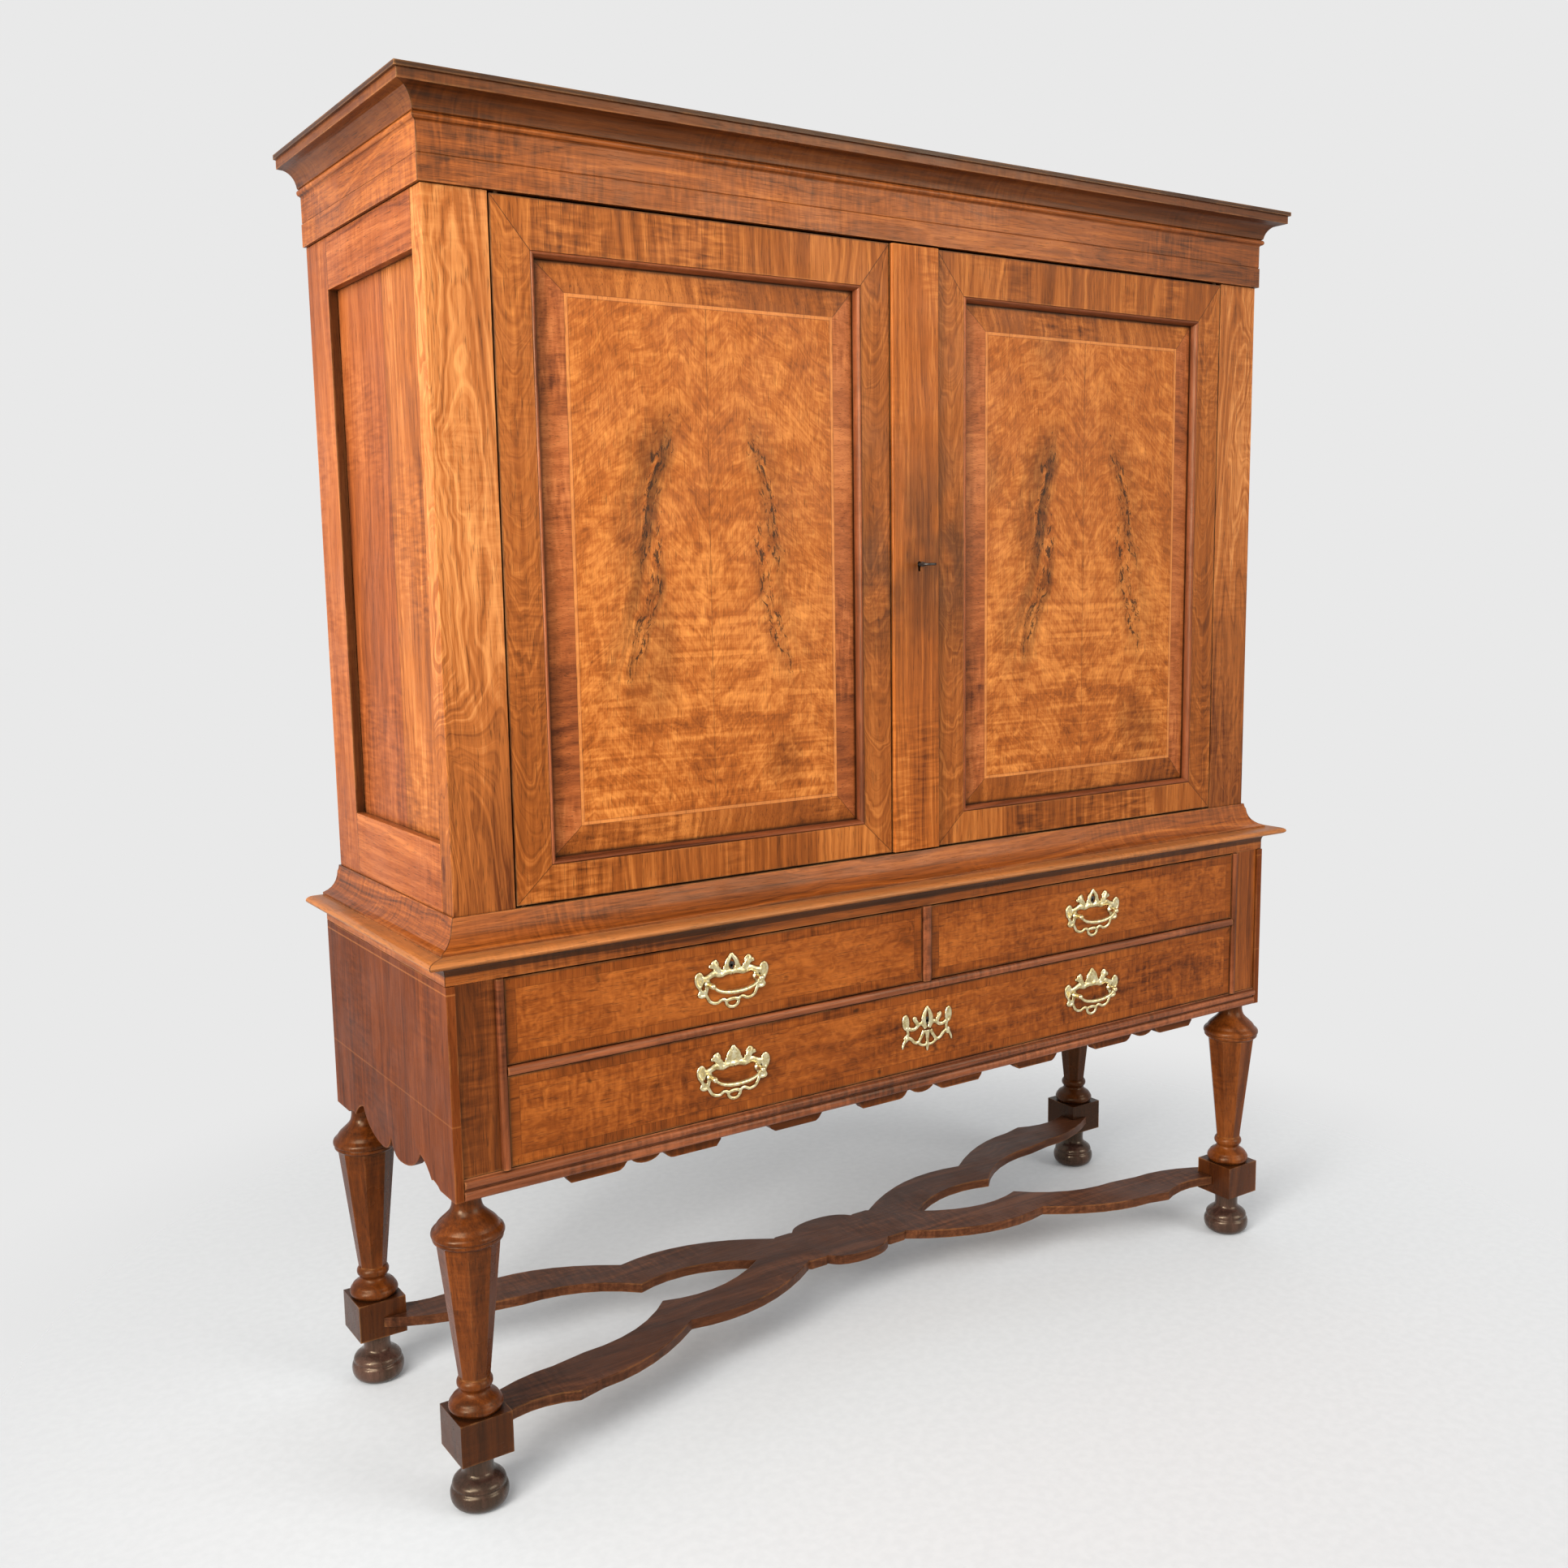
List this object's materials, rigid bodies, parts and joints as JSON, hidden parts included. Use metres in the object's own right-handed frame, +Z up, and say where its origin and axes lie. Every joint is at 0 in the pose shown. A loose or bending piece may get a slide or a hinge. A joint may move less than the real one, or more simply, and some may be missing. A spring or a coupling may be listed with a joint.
{
  "type": "cross-foot cabinet",
  "caption": "Walnut cupboard with panelled doors and a moulded cornice, on a stand with drawers, turned legs and a shaped cross stretcher.",
  "frame": {"origin": "on the floor under the middle of the bounding box", "axes": "+Z up, X along the front to the viewer's right, the front faces -Y"},
  "size_m": [1.792, 0.5774, 2.036],
  "materials": {
    "walnut": "waxed",
    "figured_walnut": "polished veneer",
    "dark_walnut": "waxed",
    "ebonised": "polished black",
    "oak": "bare",
    "brass": "polished",
    "iron": "dark"
  },
  "bodies": {
    "cabinet": {"front_left_foot": "ebonised", "front_right_foot": "ebonised", "back_left_foot": "ebonised", "back_right_foot": "ebonised", "front_left_leg": "walnut", "front_right_leg": "walnut", "back_left_leg": "walnut", "back_right_leg": "walnut", "cross_stretcher": "dark_walnut", "stand_left_side": "walnut", "stand_right_side": "walnut", "stand_left_post": "walnut", "stand_right_post": "walnut", "middle_rail": "walnut", "bottom_rail": "walnut", "drawer_divider": "walnut", "apron": "walnut", "stand_bottom_board": "oak", "dust_board": "oak", "stand_back_board": "oak", "stand_top_board": "oak", "waist_moulding": "walnut", "case_left_post": "figured_walnut", "case_right_post": "figured_walnut", "case_left_side_frame": "walnut", "case_right_side_frame": "walnut", "case_left_side_panel": "walnut", "case_right_side_panel": "walnut", "case_back_board": "oak", "case_bottom_board": "oak", "case_top_board": "oak", "lower_shelf": "oak", "upper_shelf": "oak", "cornice": "walnut", "cornice_top_board": "oak"},
    "left_door": {"left_door_frame": "figured_walnut", "left_door_lip": "dark_walnut", "left_door_panel": "figured_walnut"},
    "right_door": {"right_door_frame": "figured_walnut", "right_door_lip": "dark_walnut", "right_door_panel": "figured_walnut", "meeting_strip": "figured_walnut", "lock_case": "iron"},
    "door_key": {"key": "iron"},
    "door_bolt": {"lock_bolt": "iron"},
    "left_drawer": {"left_drawer_front": "figured_walnut", "left_drawer_box": "oak", "left_drawer_plate": "brass"},
    "right_drawer": {"right_drawer_front": "figured_walnut", "right_drawer_box": "oak", "right_drawer_plate": "brass"},
    "long_drawer": {"long_drawer_front": "figured_walnut", "long_drawer_box": "oak", "long_drawer_left_plate": "brass", "long_drawer_right_plate": "brass", "long_drawer_escutcheon": "brass"},
    "left_drawer_handle": {"left_drawer_bail": "brass"},
    "right_drawer_handle": {"right_drawer_bail": "brass"},
    "long_drawer_left_handle": {"long_drawer_left_bail": "brass"},
    "long_drawer_right_handle": {"long_drawer_right_bail": "brass"}
  },
  "joints": [
    {"name": "left_door_hinge", "type": "hinge", "parent": "cabinet", "child": "left_door", "pos_m": [-0.724, -0.22025, 1.40025], "axis": [0, 0, -1], "range_deg": [0, 105]},
    {"name": "right_door_hinge", "type": "hinge", "parent": "cabinet", "child": "right_door", "pos_m": [0.724, -0.22025, 1.40025], "axis": [0, 0, 1], "range_deg": [0, 105]},
    {"name": "key_turn", "type": "hinge", "parent": "right_door", "child": "door_key", "pos_m": [0.006, -0.22625, 1.386], "axis": [0, 1, 0], "range_deg": [0, 180]},
    {"name": "bolt_throw", "type": "slide", "parent": "right_door", "child": "door_bolt", "axis": [-1, 0, 0], "range_m": [0, 0.018]},
    {"name": "left_drawer_slide", "type": "slide", "parent": "cabinet", "child": "left_drawer", "axis": [0, -1, 0], "range_m": [0, 0.38]},
    {"name": "right_drawer_slide", "type": "slide", "parent": "cabinet", "child": "right_drawer", "axis": [0, -1, 0], "range_m": [0, 0.38]},
    {"name": "long_drawer_slide", "type": "slide", "parent": "cabinet", "child": "long_drawer", "axis": [0, -1, 0], "range_m": [0, 0.38]},
    {"name": "left_drawer_bail_swing", "type": "hinge", "parent": "left_drawer", "child": "left_drawer_handle", "pos_m": [-0.392, -0.27185, 0.74375], "axis": [-1, 0, 0], "range_deg": [0, 75]},
    {"name": "right_drawer_bail_swing", "type": "hinge", "parent": "right_drawer", "child": "right_drawer_handle", "pos_m": [0.392, -0.27185, 0.74375], "axis": [-1, 0, 0], "range_deg": [0, 75]},
    {"name": "long_drawer_left_bail_swing", "type": "hinge", "parent": "long_drawer", "child": "long_drawer_left_handle", "pos_m": [-0.392, -0.27185, 0.594], "axis": [-1, 0, 0], "range_deg": [0, 75]},
    {"name": "long_drawer_right_bail_swing", "type": "hinge", "parent": "long_drawer", "child": "long_drawer_right_handle", "pos_m": [0.392, -0.27185, 0.594], "axis": [-1, 0, 0], "range_deg": [0, 75]}
  ],
  "couplings": [
    {"joint": "key_turn", "follows": "bolt_throw", "rad_per_m": 174}
  ]
}
